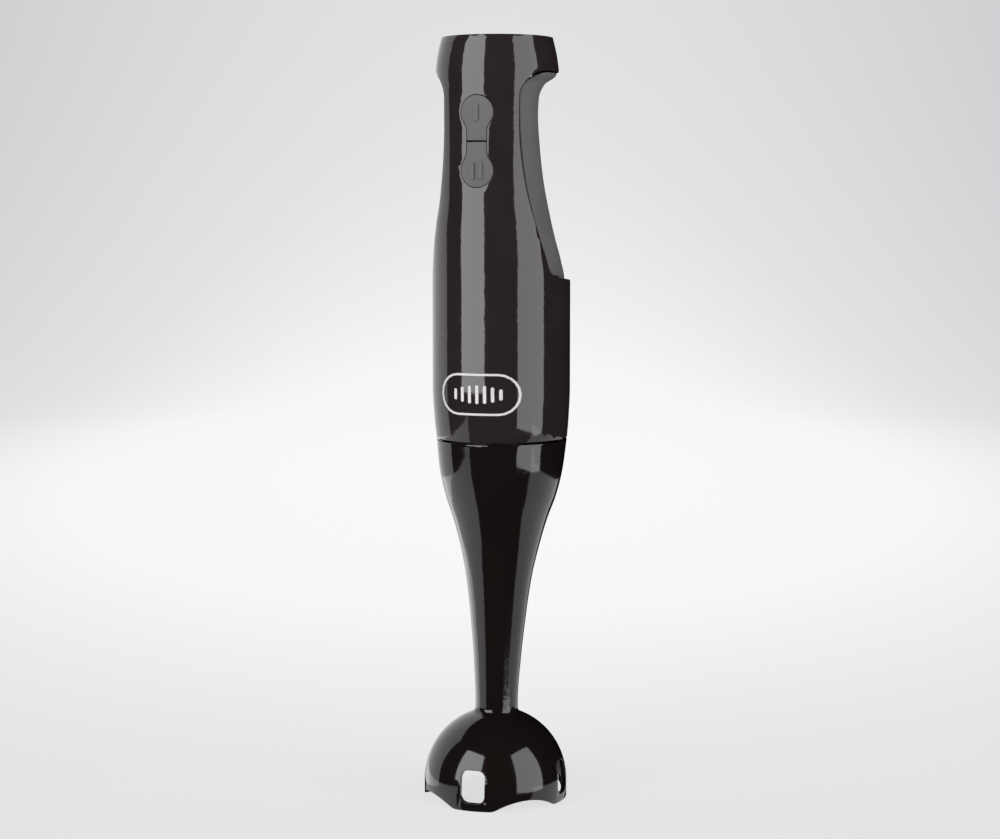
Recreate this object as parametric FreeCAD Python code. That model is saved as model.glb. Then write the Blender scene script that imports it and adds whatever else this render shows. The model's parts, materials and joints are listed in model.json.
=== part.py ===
import FreeCAD, Part

import math
import os
from functools import lru_cache

from FreeCAD import Vector

# Immersion blender standing on the rim of its bell. The origin is on the drive axis at the floor,
# +Z runs up the handle, the buttons face -Y and the grip faces +Y. All sizes are millimetres.

# ---------------------------------------------------------------- overall heights
STEM_LENGTH = 166.4
SEAM_GAP = 1.1
BARREL_LENGTH = 74.5
GRIP_LENGTH = 92.5
CROWN_HEIGHT = 15.5

BARREL_Z = STEM_LENGTH + SEAM_GAP
LEDGE_Z = BARREL_Z + BARREL_LENGTH
CROWN_Z = LEDGE_Z + GRIP_LENGTH
CROWN_EDGE_Z = CROWN_Z + 1.0
TOP_Z = CROWN_Z + CROWN_HEIGHT

# ---------------------------------------------------------------- handle outline
WALL = 2.0
FRONT = 26.0
BARREL_HALF_WIDTH = 31.6
BARREL_BACK = 42.7
SEAM_HALF_WIDTH = 30.1
SEAM_FRONT = 23.5
SEAM_BACK = 41.8
FOREGRIP_HALF_WIDTH = 26.8
CROWN_HALF_WIDTH = 28.1
CROWN_BACK = 30.8
TOP_HALF_WIDTH = 25.5
LEDGE_SLOPE = 0.08
LIP_SETBACK = 6.7
LIP_CORNER = 12.0
LEDGE_CORNER = 7.0
LIP_STRAIGHT = 26.0
LIP_DRIFT = 13.5
GRIP_HALF_WIDTH = 20.9
GRIP_BACK = 15.4
GRIP_WALL = 2.0
GRIP_GAP = 0.8
LIP_GROOVE = 2.8

# ---------------------------------------------------------------- stem and bell
NECK_RADIUS = 9.9
NECK_OFFSET = 1.5
BELL_RADIUS = 33.1
BELL_SKIRT = 7.8
BELL_WALL = 2.2
STEM_WALL = 2.2
NECK_FILLET = 2.5
WINDOW_COUNT = 4
WINDOW_WIDTH = 11.6
WINDOW_LOW = 3.6
WINDOW_HIGH = 18.4
WINDOW_CORNER = 3.6
NOTCH_HEIGHT = 4.6
NOTCH_SPAN = 56.0
LOBE_ROUND = 6.0

# ---------------------------------------------------------------- buttons
BUTTON_RADIUS = 7.5
BUTTON_NECK = 9.1
BUTTON_GAP = 0.8
BUTTON_BLEND = 7.0
BUTTON_SPACING = 25.8
BUTTON_MIDDLE_Z = CROWN_Z - 31.8
BUTTON_CLEARANCE = 0.35
BUTTON_THICKNESS = 3.0
BUTTON_TRAVEL = 2.0
BUTTON_PROUD = 0.2
POST_RADIUS = 2.5
POST_CLEARANCE = 0.08
POST_REACH = 0.2
SPRING_RADIUS = 3.6
SPRING_WIRE = 0.35
SPRING_TURNS = 4

# ---------------------------------------------------------------- drive train
SHAFT_RADIUS = 2.5
CUTTER_SHAFT_RADIUS = 3.0
RUNNING_FIT = 0.04
PRESS_FIT = 0.02
LOOSE_FIT = 0.25
BEARING_RADIUS = 8.0
BEARING_WIDTH = 5.0
MOTOR_CLEARANCE = 3.0
STATOR_RADIUS = FRONT - WALL - MOTOR_CLEARANCE
STATOR_LENGTH = 30.0
AIR_GAP = 0.5
ARMATURE_RADIUS = 11.0
ARMATURE_SLOTS = 12
COMMUTATOR_RADIUS = 6.5
COMMUTATOR_LENGTH = 8.0
EAR_X = BARREL_HALF_WIDTH - WALL - 7.6
EAR_RADIUS = 3.4
SCREW_RADIUS = 1.5
SCREW_HEAD = 2.8
FAN_RADIUS = EAR_X - EAR_RADIUS - 0.9
FAN_BLADES = 9
FAN_HEIGHT = 6.0
SPIGOT_RADIUS = 16.5
SPIGOT_WALL = 2.5
SPIGOT_LENGTH = 15.0
SOCKET_FIT = 0.3
COUPLING_RADIUS = 9.0
DOG_RADIUS = 5.0
DOG_OVERLAP = 5.0
DOG_FIT = 0.3
BUSH_RADIUS = 5.5
BUSH_LENGTH = 10.0
SEAL_RADIUS = 7.0
SEAL_LENGTH = 5.0
BLADE_Z = 13.4
BLADE_TIP = 23.0
BLADE_THICKNESS = 1.2
BLADE_CHORD = 9.5
INLET_RADIUS = 3.7
INLET_LENGTH = 12.0

# Heights of the motor's pieces, stacked up from the barrel's lower edge.
FLANGE_Z = BARREL_Z + 0.4
FLANGE_THICKNESS = 2.6
BRACKET_Z = FLANGE_Z + FLANGE_THICKNESS + 0.5
BRACKET_THICKNESS = 4.0
LOWER_BEARING_Z = BRACKET_Z + BRACKET_THICKNESS
FAN_Z = LOWER_BEARING_Z + BEARING_WIDTH + 2.5
STATOR_Z = FAN_Z + FAN_HEIGHT + 5.5
STATOR_TOP = STATOR_Z + STATOR_LENGTH
COIL_OVERHANG = 4.0
COMMUTATOR_Z = STATOR_TOP + 9.0
UPPER_PLATE_Z = COMMUTATOR_Z + COMMUTATOR_LENGTH + 1.0
UPPER_PLATE_THICKNESS = 4.0
UPPER_BEARING_Z = UPPER_PLATE_Z + UPPER_PLATE_THICKNESS
SHAFT_TOP = UPPER_BEARING_Z + BEARING_WIDTH + 1.0
SPIGOT_Z = BARREL_Z - SPIGOT_LENGTH
DOG_Z = SPIGOT_Z + 3.0
COUPLING_TOP = DOG_Z + DOG_OVERLAP
CUTTER_SHAFT_TOP = SPIGOT_Z - 0.5
UPPER_BUSH_Z = SPIGOT_Z - 17.0
SOCKET_FLOOR_Z = SPIGOT_Z - 2.0
NECK_Z = BELL_SKIRT + BELL_RADIUS + 3.1
LOWER_BUSH_Z = NECK_Z + 1.0
SEAL_Z = NECK_Z - 11.0
BORE_Z = LOWER_BUSH_Z + BUSH_LENGTH + 3.0

# Each row is a height and the half width, front depth and back depth of the section there.
HANDLE_OUTLINE = [
    (BARREL_Z, SEAM_HALF_WIDTH, SEAM_FRONT, SEAM_BACK),
    (BARREL_Z + 8.5, BARREL_HALF_WIDTH - 0.7, FRONT - 1.2, BARREL_BACK - 0.4),
    (BARREL_Z + 24.0, BARREL_HALF_WIDTH, FRONT - 0.2, BARREL_BACK),
    (LEDGE_Z - 4.0, BARREL_HALF_WIDTH, FRONT - 0.2, BARREL_BACK),
    (LEDGE_Z + 0.0973 * GRIP_LENGTH, BARREL_HALF_WIDTH - 1.1, FRONT, BARREL_BACK - 6.0),
    (LEDGE_Z + 0.2324 * GRIP_LENGTH, FOREGRIP_HALF_WIDTH + 2.4, FRONT, CROWN_BACK + 1.0),
    (LEDGE_Z + 0.3892 * GRIP_LENGTH, FOREGRIP_HALF_WIDTH + 0.3, FRONT, CROWN_BACK - 3.0),
    (LEDGE_Z + 0.546 * GRIP_LENGTH, FOREGRIP_HALF_WIDTH - 0.2, FRONT, CROWN_BACK - 4.0),
    (LEDGE_Z + 0.827 * GRIP_LENGTH, FOREGRIP_HALF_WIDTH, FRONT, CROWN_BACK - 3.6),
    (CROWN_EDGE_Z, CROWN_HALF_WIDTH, FRONT - 0.2, CROWN_BACK),
]
CROWN_OUTLINE = [
    (CROWN_EDGE_Z, CROWN_HALF_WIDTH, FRONT - 0.2, CROWN_BACK),
    (CROWN_EDGE_Z + 5.0, CROWN_HALF_WIDTH - 0.6, FRONT - 0.7, CROWN_BACK - 0.7),
    (TOP_Z, TOP_HALF_WIDTH, FRONT - 2.6, CROWN_BACK - 3.0),
]
GRIP_OUTLINE = [
    (LEDGE_Z - 8.0, BARREL_HALF_WIDTH - 2.6, FRONT - 2.9, BARREL_BACK - 2.7),
    (LEDGE_Z - 1.0, BARREL_HALF_WIDTH - 2.7, FRONT - 2.8, BARREL_BACK - 3.0),
    (LEDGE_Z + 0.08 * GRIP_LENGTH, BARREL_HALF_WIDTH - 3.3, FRONT - 3.1, BARREL_BACK - 8.9),
    (LEDGE_Z + 0.1784 * GRIP_LENGTH, GRIP_HALF_WIDTH + 5.7, FRONT - 2.4, GRIP_BACK + 14.2),
    (LEDGE_Z + 0.2811 * GRIP_LENGTH, GRIP_HALF_WIDTH + 4.1, FRONT - 2.0, GRIP_BACK + 10.6),
    (LEDGE_Z + 0.4757 * GRIP_LENGTH, GRIP_HALF_WIDTH + 1.6, FRONT - 1.4, GRIP_BACK + 5.1),
    (LEDGE_Z + 0.6324 * GRIP_LENGTH, GRIP_HALF_WIDTH + 0.5, FRONT - 1.1, GRIP_BACK + 2.3),
    (CROWN_Z - 19.5, GRIP_HALF_WIDTH, FRONT - 1.8, GRIP_BACK),
    (CROWN_Z - 11.5, GRIP_HALF_WIDTH + 0.2, FRONT - 1.8, GRIP_BACK + 1.2),
    (CROWN_Z - 5.5, GRIP_HALF_WIDTH + 1.9, FRONT - 2.0, GRIP_BACK + 6.2),
    (CROWN_Z - 1.8, CROWN_HALF_WIDTH - 1.3, FRONT - 0.8, CROWN_BACK - 2.2),
    (CROWN_Z - 0.3, CROWN_HALF_WIDTH - 0.7, FRONT - 0.6, CROWN_BACK - 1.1),
]
# Each row is a share of the height from neck to seam, and how far the half width, front and back
# have gone by then from the round neck to the seam's section.
STEM_FLARE = [
    (0.00, 0.00, 0.00, 0.00),
    (0.16, 0.054, 0.007, 0.076),
    (0.31, 0.14, 0.046, 0.17),
    (0.467, 0.26, 0.138, 0.295),
    (0.58, 0.40, 0.25, 0.43),
    (0.695, 0.59, 0.487, 0.596),
    (0.79, 0.79, 0.724, 0.77),
    (0.89, 0.926, 0.908, 0.90),
    (1.00, 1.00, 1.00, 1.00),
]


# ---------------------------------------------------------------- basic solids
def cylinder(radius, low, high, x=0.0, y=0.0):
    return Part.makeCylinder(radius, high - low, Vector(x, y, low))


def ring(outer, inner, low, high, x=0.0, y=0.0):
    return cylinder(outer, low, high, x, y).cut(cylinder(inner, low - 1, high + 1, x, y))


def box(x, y, z):
    """Box between the low and high value of each axis."""
    return Part.makeBox(x[1] - x[0], y[1] - y[0], z[1] - z[0], Vector(x[0], y[0], z[0]))


def join(shapes):
    """One solid from touching shapes."""
    shapes = list(shapes)
    return shapes[0].multiFuse(shapes[1:]).removeSplitter()


def group(shapes):
    """Separate solids kept in one node."""
    return Part.makeCompound([solid for shape in shapes for solid in shape.Solids])


def turned(shape, degrees):
    """Copy of a shape turned about the drive axis."""
    copy = shape.copy()
    copy.rotate(Vector(0, 0, 0), Vector(0, 0, 1), degrees)
    return copy


def around(shape, count, start=0.0):
    return [turned(shape, start + 360.0 * i / count) for i in range(count)]


def polygon_prism(corners, low, high):
    """Prism on a closed outline in the X-Y plane."""
    points = [Vector(x, y, low) for x, y in corners]
    face = Part.Face(Part.makePolygon(points + points[:1]))
    return face.extrude(Vector(0, 0, high - low))


def regular_prism(radius, sides, low, high):
    """Prism with its corners on a circle."""
    turns = [2 * math.pi * i / sides for i in range(sides)]
    return polygon_prism([(radius * math.cos(t), radius * math.sin(t)) for t in turns], low, high)


# ---------------------------------------------------------------- lofted forms
# A cubic arc this long at both ends draws a quarter of a unit circle.
QUARTER = 0.5523
UNIT_RING = [
    (1, 0), (1, QUARTER), (QUARTER, 1), (-QUARTER, 1), (-1, QUARTER),
    (-1, -QUARTER), (-QUARTER, -1), (QUARTER, -1), (1, -QUARTER), (1, 0),
]


def slopes(heights, values):
    """Tangents that carry a smooth curve through the values without overshoot."""
    rises = [(b - a) / (q - p) for a, b, p, q in zip(values, values[1:], heights, heights[1:])]
    inner = [0.0 if a * b <= 0 else 2 * a * b / (a + b) for a, b in zip(rises, rises[1:])]
    return [rises[0]] + inner + [rises[-1]]


def follow(outline, z):
    """Half width, front and back at height z, each with its slope there."""
    heights = [row[0] for row in outline]
    z = min(max(z, heights[0]), heights[-1])
    i = max(k for k in range(len(heights) - 1) if heights[k] <= z)
    span = heights[i + 1] - heights[i]
    t = (z - heights[i]) / span
    pairs = []
    for column in range(1, 4):
        values = [row[column] for row in outline]
        tangents = slopes(heights, values)
        low, high = values[i], values[i + 1]
        leave, arrive = tangents[i], tangents[i + 1]
        size = low + (high - low) * t * t * (3 - 2 * t)
        size += span * t * (1 - t) * (leave * (1 - t) - arrive * t)
        slope = 6 * t * (1 - t) * (high - low) / span
        slope += leave * (1 - t) * (1 - 3 * t) + arrive * t * (3 * t - 2)
        pairs.append((size, slope))
    return pairs


def read_outline(outline, z):
    """Half width, front and back of the section at height z."""
    return [size for size, slope in follow(outline, z)]


def pole_rows(outline, heights):
    """Height and sizes of every row of poles that carries the outline's curve."""
    rows = [(heights[0], read_outline(outline, heights[0]))]
    for low, high in zip(heights, heights[1:]):
        third = (high - low) / 3
        rows.append((low + third, [size + slope * third for size, slope in follow(outline, low)]))
        rows.append((high - third, [size - slope * third for size, slope in follow(outline, high)]))
    rows.append((heights[-1], read_outline(outline, heights[-1])))
    return rows


def oval_skin(outline, low, high, inset):
    """Open face round the outline between two heights, drawn in by inset."""
    heights = [low] + [row[0] for row in outline if low < row[0] < high] + [high]
    rows = pole_rows(outline, heights)
    poles = []
    for x, y in UNIT_RING:
        column = []
        for z, (half_width, front, back) in rows:
            depth = (front + back) / 2 - inset
            column.append(Vector(x * (half_width - inset), (back - front) / 2 + y * depth, z))
        poles.append(column)
    surface = Part.BSplineSurface()
    inner = [2] * (len(heights) - 2)
    surface.buildFromPolesMultsKnots(
        poles, [4, 2, 2, 2, 4], [4] + inner + [4], [0, 1, 2, 3, 4], heights, False, False, 3, 3
    )
    return surface.toShape()


def level_edges(shape, z):
    """Edges of a shape that lie flat at height z."""
    bounds = [(edge, edge.BoundBox) for edge in shape.Edges]
    return [edge for edge, b in bounds if abs(b.ZMin - z) < 1e-3 and abs(b.ZMax - z) < 1e-3]


def sewn(faces):
    """Solid inside a closed set of faces."""
    walls = Part.makeCompound(faces)
    walls.sewShape()
    solid = Part.makeSolid(walls.Shells[0])
    if solid.Volume < 0:
        solid.reverse()
    return solid


def oval_loft(outline, low, high, inset=0.0):
    """Solid inside the outline between two heights, drawn in by inset."""
    skin = oval_skin(outline, low, high, inset)
    ends = [Part.Face(Part.Wire(level_edges(skin, z))) for z in (low, high)]
    return sewn([skin] + ends)


def wall_tube(outline, low, high, wall):
    """Open-ended wall inside the outline."""
    skins = [oval_skin(outline, low, high, inset) for inset in (0.0, wall)]
    faces = list(skins)
    for z in (low, high):
        rims = [Part.Wire(level_edges(skin, z)) for skin in skins]
        faces.append(Part.makeFace(rims, "Part::FaceMakerBullseye"))
    return sewn(faces)


def handle_wall():
    """Handle's wall as one open-ended tube, before the grip recess is cut."""
    lower = wall_tube(HANDLE_OUTLINE, BARREL_Z, CROWN_EDGE_Z, WALL)
    upper = wall_tube(CROWN_OUTLINE, CROWN_EDGE_Z, TOP_Z, WALL)
    return lower.fuse(upper)


def barrel_disc(low, high):
    """Plate that fills the inside of the barrel with a small clearance."""
    return oval_loft(HANDLE_OUTLINE, low, high, WALL + LOOSE_FIT + 0.1)


def slab(low, high, reach=80.0):
    return box((-reach, reach), (-reach, reach), (low, high))


@lru_cache(maxsize=None)
def grip_recess(inset):
    """Space behind the handle's lip line, across the whole width, drawn in by inset."""
    lip = -FRONT + LIP_SETBACK + inset
    top = CROWN_Z - inset
    floor = LEDGE_Z + inset
    bend = CROWN_Z - LIP_STRAIGHT
    foot = lip + LIP_DRIFT
    far = BARREL_BACK + 20.0
    far_floor = floor - LEDGE_SLOPE * (far - foot)
    # The lip runs straight down from the crown, then drifts back on a long arc to the ledge.
    middle = Vector(0, lip + LIP_DRIFT * 0.27, (bend + floor) / 2)
    drift = Part.Arc(Vector(0, lip, bend), middle, Vector(0, foot, floor))
    edges = [
        Part.makeLine(Vector(0, far, top), Vector(0, lip, top)),
        Part.makeLine(Vector(0, lip, top), Vector(0, lip, bend)),
        drift.toShape(),
        Part.makeLine(Vector(0, foot, floor), Vector(0, far, far_floor)),
        Part.makeLine(Vector(0, far, far_floor), Vector(0, far, top)),
    ]
    face = Part.Face(Part.Wire(edges))
    face.translate(Vector(-60, 0, 0))
    prism = face.extrude(Vector(120, 0, 0))
    for y, z, radius in ((lip, top, LIP_CORNER - inset), (foot, floor, LEDGE_CORNER - inset)):
        prism = prism.makeFillet(radius, cross_edges(prism, y, z))
    return prism


def cross_edges(shape, y, z):
    """Edges that run straight along X at one place in the Y-Z plane."""
    bounds = [(edge, edge.BoundBox) for edge in shape.Edges]
    return [e for e, b in bounds if abs(b.Center.y - y) + abs(b.Center.z - z) < 0.02 and b.XLength > 1]


@lru_cache(maxsize=None)
def button_outline(low, high, growth=0.0):
    """Dumbbell or keyhole between two heights, seen from the front, grown by a margin."""
    radius = BUTTON_RADIUS + growth
    half_neck = BUTTON_NECK / 2 + growth
    blend = BUTTON_BLEND - growth
    reach = 60.0
    centres = [BUTTON_MIDDLE_Z + side * BUTTON_SPACING / 2 for side in (1, -1)]
    pieces = [box((-half_neck, half_neck), (-reach, -8.0), (centres[1], centres[0]))]
    for centre, side in zip(centres, (1, -1)):
        lobe = Part.makeCylinder(radius, reach - 8.0, Vector(0, -reach, centre), Vector(0, 1, 0))
        pieces.append(lobe)
        # The waist runs into the lobe on an arc that touches both.
        side_x = half_neck + blend
        drop = math.sqrt((radius + blend) ** 2 - side_x**2)
        web = box(
            (-half_neck - 3.0, half_neck + 3.0),
            (-reach, -8.0),
            sorted((centre, centre - side * drop)),
        )
        for hand in (1, -1):
            scoop = Part.makeCylinder(
                blend, reach, Vector(hand * side_x, -reach, centre - side * drop), Vector(0, 1, 0)
            )
            web = web.cut(scoop)
        touch = side_x * radius / (radius + blend)
        web = web.common(box((-touch, touch), (-reach, -8.0), (centres[1], centres[0])))
        pieces.append(web)
    return join(pieces).common(slab(low, high))


# ---------------------------------------------------------------- handle
def screw_bosses():
    """Where the three collar screws run, as X and Y."""
    side = BARREL_HALF_WIDTH - WALL - 6.4
    return [(-side, 16.0), (side, 16.0), (0.0, BARREL_BACK - WALL - 6.5)]


def vent_slots():
    """Cooling slots low in the back of the barrel."""
    slots = []
    for i in range(5):
        z = LEDGE_Z - 50.0 + 4.6 * i
        slots.append(box((-11.0, 11.0), (BARREL_BACK - 9.0, BARREL_BACK + 9.0), (z, z + 1.8)))
    return slots


def cap_rests():
    """Four blocks inside the crown that the top cap sits on."""
    half_width, front, back = read_outline(CROWN_OUTLINE, TOP_Z - 5.8)
    z = (TOP_Z - 7.0, TOP_Z - 4.6)
    middle = (back - front) / 2
    y = (middle - 3.0, middle + 3.0)
    depth = WALL + 1.6
    shallow = WALL - 1.0
    return [
        box((half_width - depth, half_width - shallow), y, z),
        box((shallow - half_width, depth - half_width), y, z),
        box((-3.0, 3.0), (shallow - front, depth - front), z),
        box((-3.0, 3.0), (back - depth, back - shallow), z),
    ]


def screw_posts():
    """Bosses with webs to the barrel's wall, for the collar screws."""
    low, high = LOWER_BEARING_Z + 0.1, LOWER_BEARING_Z + 12.0
    posts = []
    for x, y in screw_bosses():
        post = cylinder(3.4, low, high, x, y)
        if x:
            reach = math.copysign(BARREL_HALF_WIDTH - WALL + 0.4, x)
            web = box(sorted((x, reach)), (y - 1.0, y + 1.0), (low, high))
        else:
            web = box((-1.0, 1.0), (y, BARREL_BACK - WALL + 1.0), (low, high))
        posts.append(post.fuse(web))
    return posts


def housing_shell():
    """Glossy moulding: full round at the barrel and crown, a front plate between them."""
    shell = handle_wall().cut(grip_recess(0.0))
    shell = join([shell] + cap_rests() + screw_posts())
    for x, y in screw_bosses():
        shell = shell.cut(cylinder(SCREW_RADIUS - 0.05, BARREL_Z, LOWER_BEARING_Z + 20.0, x, y))
    shell = shell.cut(
        button_outline(
            BUTTON_MIDDLE_Z - BUTTON_SPACING, BUTTON_MIDDLE_Z + BUTTON_SPACING, BUTTON_CLEARANCE
        )
    )
    for slot in vent_slots():
        shell = shell.cut(slot)
    return shell


def rear_grip():
    """Soft cover that closes the recess, its lower edge tucked inside the barrel."""
    tube = wall_tube(GRIP_OUTLINE, LEDGE_Z - 8.0, CROWN_Z - 0.3, GRIP_WALL)
    tuck = box((-60, 60), (6.0, BARREL_BACK), (LEDGE_Z - 9.0, LEDGE_Z + 1.0))
    recess = grip_recess(GRIP_GAP).translated(Vector(0, LIP_GROOVE, 0))
    return tube.common(recess.fuse(tuck))


def cap_centre():
    _, front, back = read_outline(CROWN_OUTLINE, TOP_Z)
    return (back - front) / 2


def top_cap():
    cap = oval_loft(CROWN_OUTLINE, TOP_Z - 4.6, TOP_Z - 0.8, WALL + LOOSE_FIT)
    return cap.cut(cylinder(INLET_RADIUS + 2.0, TOP_Z - 10, TOP_Z + 5, 0, cap_centre()))


def cord_gland():
    """Rubber sleeve in the cap, whose bore takes the lead."""
    y = cap_centre()
    low = TOP_Z - 0.9 - INLET_LENGTH
    sleeve = cylinder(INLET_RADIUS + 1.95, low, TOP_Z - 0.9, 0, y)
    flange = cylinder(INLET_RADIUS + 3.6, TOP_Z - 7.0, TOP_Z - 4.65, 0, y)
    body = join([sleeve, flange])
    return body.cut(cylinder(INLET_RADIUS, low - 1, TOP_Z, 0, y))


# ---------------------------------------------------------------- buttons and switch
SWITCH_Y = -FRONT + WALL + 11.5
GUIDE_Y = SWITCH_Y - 4.0
GUIDE_THICKNESS = 1.6
BUTTON_BACK_Y = -FRONT + BUTTON_THICKNESS + 1.6
# The front plate is close to a cylinder of this radius where the buttons are.
FRONT_RADIUS = FOREGRIP_HALF_WIDTH + 0.2


def button_centre(side):
    return BUTTON_MIDDLE_Z + side * BUTTON_SPACING / 2


def rod(radius, y_low, y_high, z, x=0.0):
    """Round bar along Y."""
    return Part.makeCylinder(radius, y_high - y_low, Vector(x, y_low, z), Vector(0, 1, 0))


def button(side):
    """Button cap with its guide post; side is 1 for the upper button and -1 for the lower."""
    half_gap = BUTTON_GAP / 2
    far = side * BUTTON_SPACING
    low, high = sorted((BUTTON_MIDDLE_Z + side * half_gap, BUTTON_MIDDLE_Z + far))
    blank = button_outline(low, high)
    face = cylinder(FRONT_RADIUS + BUTTON_PROUD, 0.0, TOP_Z, 0.0, FRONT_RADIUS - FRONT)
    cap = blank.common(face).cut(rear_of(BUTTON_BACK_Y))
    post = rod(POST_RADIUS, BUTTON_BACK_Y - 0.5, GUIDE_Y + GUIDE_THICKNESS + POST_REACH, button_centre(side))
    return join([cap, post])


def rear_of(y):
    return box((-60, 60), (y, 90), (0, TOP_Z + 20))


def plunger(side):
    """Switch plunger that the button's post pushes."""
    z = button_centre(side)
    return rod(1.2, GUIDE_Y + GUIDE_THICKNESS + POST_REACH, SWITCH_Y + 1.0, z)


def button_guide():
    """Plate behind the buttons that guides their posts and seats their springs."""
    half = BUTTON_SPACING / 2 + BUTTON_RADIUS + 2.5
    plate = box((-11.0, 11.0), (GUIDE_Y, GUIDE_Y + GUIDE_THICKNESS),
                (BUTTON_MIDDLE_Z - half, BUTTON_MIDDLE_Z + half))
    feet = []
    inner = FRONT_RADIUS - WALL - 0.15
    foot_x = 6.6
    foot_radius = 1.6
    wall_y = FRONT_RADIUS - FRONT - math.sqrt(inner**2 - (foot_x + foot_radius) ** 2)
    for x in (-1, 1):
        for z in (-1, 1):
            foot_z = BUTTON_MIDDLE_Z + z * (half - 2.4)
            feet.append(rod(foot_radius, wall_y, GUIDE_Y, foot_z, x * foot_x))
    guide = join([plate] + feet)
    for side in (1, -1):
        hole = rod(POST_RADIUS + POST_CLEARANCE, GUIDE_Y - 1, GUIDE_Y + 5, button_centre(side))
        guide = guide.cut(hole)
    return guide


def button_spring(side):
    """Return spring round a post, as a stack of closed turns joined by a thin spine."""
    low = BUTTON_BACK_Y + 0.05
    high = GUIDE_Y - 0.05
    pitch = (high - low - 2 * SPRING_WIRE) / (SPRING_TURNS - 1)
    z = button_centre(side)
    turns = []
    for i in range(SPRING_TURNS):
        y = low + SPRING_WIRE + i * pitch
        turns.append(Part.makeTorus(SPRING_RADIUS, SPRING_WIRE, Vector(0, y, z), Vector(0, 1, 0)))
    spine = rod(SPRING_WIRE * 0.8, low + SPRING_WIRE, high - SPRING_WIRE, z, SPRING_RADIUS)
    return join(turns + [spine])


def switch_body(side):
    z = button_centre(side)
    body = box((-5.0, 5.0), (SWITCH_Y, SWITCH_Y + 6.0), (z - 6.5, z + 6.5))
    return body.cut(rod(1.3, SWITCH_Y - 1, SWITCH_Y + 1.2 + BUTTON_TRAVEL, z))


def switch_board():
    """Circuit board that carries both switches."""
    half = BUTTON_SPACING / 2 + 9.5
    y = SWITCH_Y + 6.0
    board = box((-10.0, 10.0), (y, y + 1.6), (BUTTON_MIDDLE_Z - half, BUTTON_MIDDLE_Z + half))
    stands = []
    for x in (-1, 1):
        for z in (-1, 1):
            stands.append(rod(1.4, GUIDE_Y + GUIDE_THICKNESS, y, BUTTON_MIDDLE_Z + z * (half - 2.4), x * 8.2))
    return join([board] + stands)


def suppressor_capacitor():
    y = SWITCH_Y + 7.6
    z = BUTTON_MIDDLE_Z
    return box((-6.5, 6.5), (y, y + 6.0), (z - 5.0, z + 5.0))


# ---------------------------------------------------------------- motor
def stator_core():
    low, high = STATOR_Z, STATOR_TOP
    ears = [cylinder(EAR_RADIUS, low, high, x) for x in (-EAR_X, EAR_X)]
    arms = box((-EAR_X, EAR_X), (-2.6, 2.6), (low, high))
    core = join([cylinder(STATOR_RADIUS, low, high), arms] + ears)
    core = core.cut(cylinder(ARMATURE_RADIUS + AIR_GAP, low - 1, high + 1))
    for x in (-EAR_X, EAR_X):
        core = core.cut(cylinder(SCREW_RADIUS + LOOSE_FIT, low - 1, high + 1, x))
    for pocket in coil_bars(0.15, low - 1, high + 1):
        core = core.cut(pocket)
    return core


def coil_bars(growth, low, high):
    """The four slots beside the two poles, where the field coils run."""
    inner, outer = ARMATURE_RADIUS + 2.2, STATOR_RADIUS - 3.0
    segment = ring(outer + growth, inner - growth, low, high)
    half = math.radians(16.0) + growth / outer
    reach = STATOR_RADIUS * 2
    corners = [(0, 0), (reach * math.cos(half), -reach * math.sin(half)),
               (reach * math.cos(half), reach * math.sin(half))]
    wedge = segment.common(polygon_prism(corners, low, high))
    return [turned(wedge, angle) for angle in (45.0, 135.0, 225.0, 315.0)]


def field_coils():
    """Two coils, each two bars through the core joined by end turns."""
    low, high = STATOR_Z - COIL_OVERHANG, STATOR_TOP + COIL_OVERHANG
    bars = coil_bars(0.0, low, high)
    inner, outer = ARMATURE_RADIUS + 2.2, STATOR_RADIUS - 3.0
    ends = [ring(outer, inner, low, STATOR_Z - 0.3), ring(outer, inner, STATOR_TOP + 0.3, high)]
    half = math.radians(60.9)
    reach = STATOR_RADIUS * 2
    coils = []
    for angle, pair in ((0.0, (0, 3)), (180.0, (1, 2))):
        corners = [(0, 0), (reach * math.cos(half), -reach * math.sin(half)), (reach, -reach),
                   (reach, reach), (reach * math.cos(half), reach * math.sin(half))]
        wedge = turned(polygon_prism(corners, low - 1, high + 1), angle)
        coils.append(join([bars[i] for i in pair] + [end.common(wedge) for end in ends]))
    return group(coils)


def bearing(low):
    return ring(BEARING_RADIUS, SHAFT_RADIUS + RUNNING_FIT, low, low + BEARING_WIDTH)


def lower_bracket():
    """Plate across the barrel that holds the lower bearing and stands the stator on two posts."""
    plate = barrel_disc(BRACKET_Z, LOWER_BEARING_Z)
    cup = cylinder(BEARING_RADIUS + 2.4, BRACKET_Z, LOWER_BEARING_Z + BEARING_WIDTH)
    posts = [cylinder(EAR_RADIUS - 0.4, BRACKET_Z, STATOR_Z, x) for x in (-EAR_X, EAR_X)]
    body = join([plate, cup] + posts)
    body = body.cut(cylinder(BEARING_RADIUS + PRESS_FIT, LOWER_BEARING_Z, LOWER_BEARING_Z + 20))
    body = body.cut(cylinder(SHAFT_RADIUS + 1.5, BRACKET_Z - 1, LOWER_BEARING_Z + 1))
    for x in (-EAR_X, EAR_X):
        body = body.cut(cylinder(SCREW_RADIUS + PRESS_FIT, BRACKET_Z + 2, STATOR_Z + 1, x))
    for x, y in screw_bosses():
        body = body.cut(cylinder(SCREW_RADIUS + LOOSE_FIT, BRACKET_Z - 1, LOWER_BEARING_Z + 1, x, y))
    return body


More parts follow.
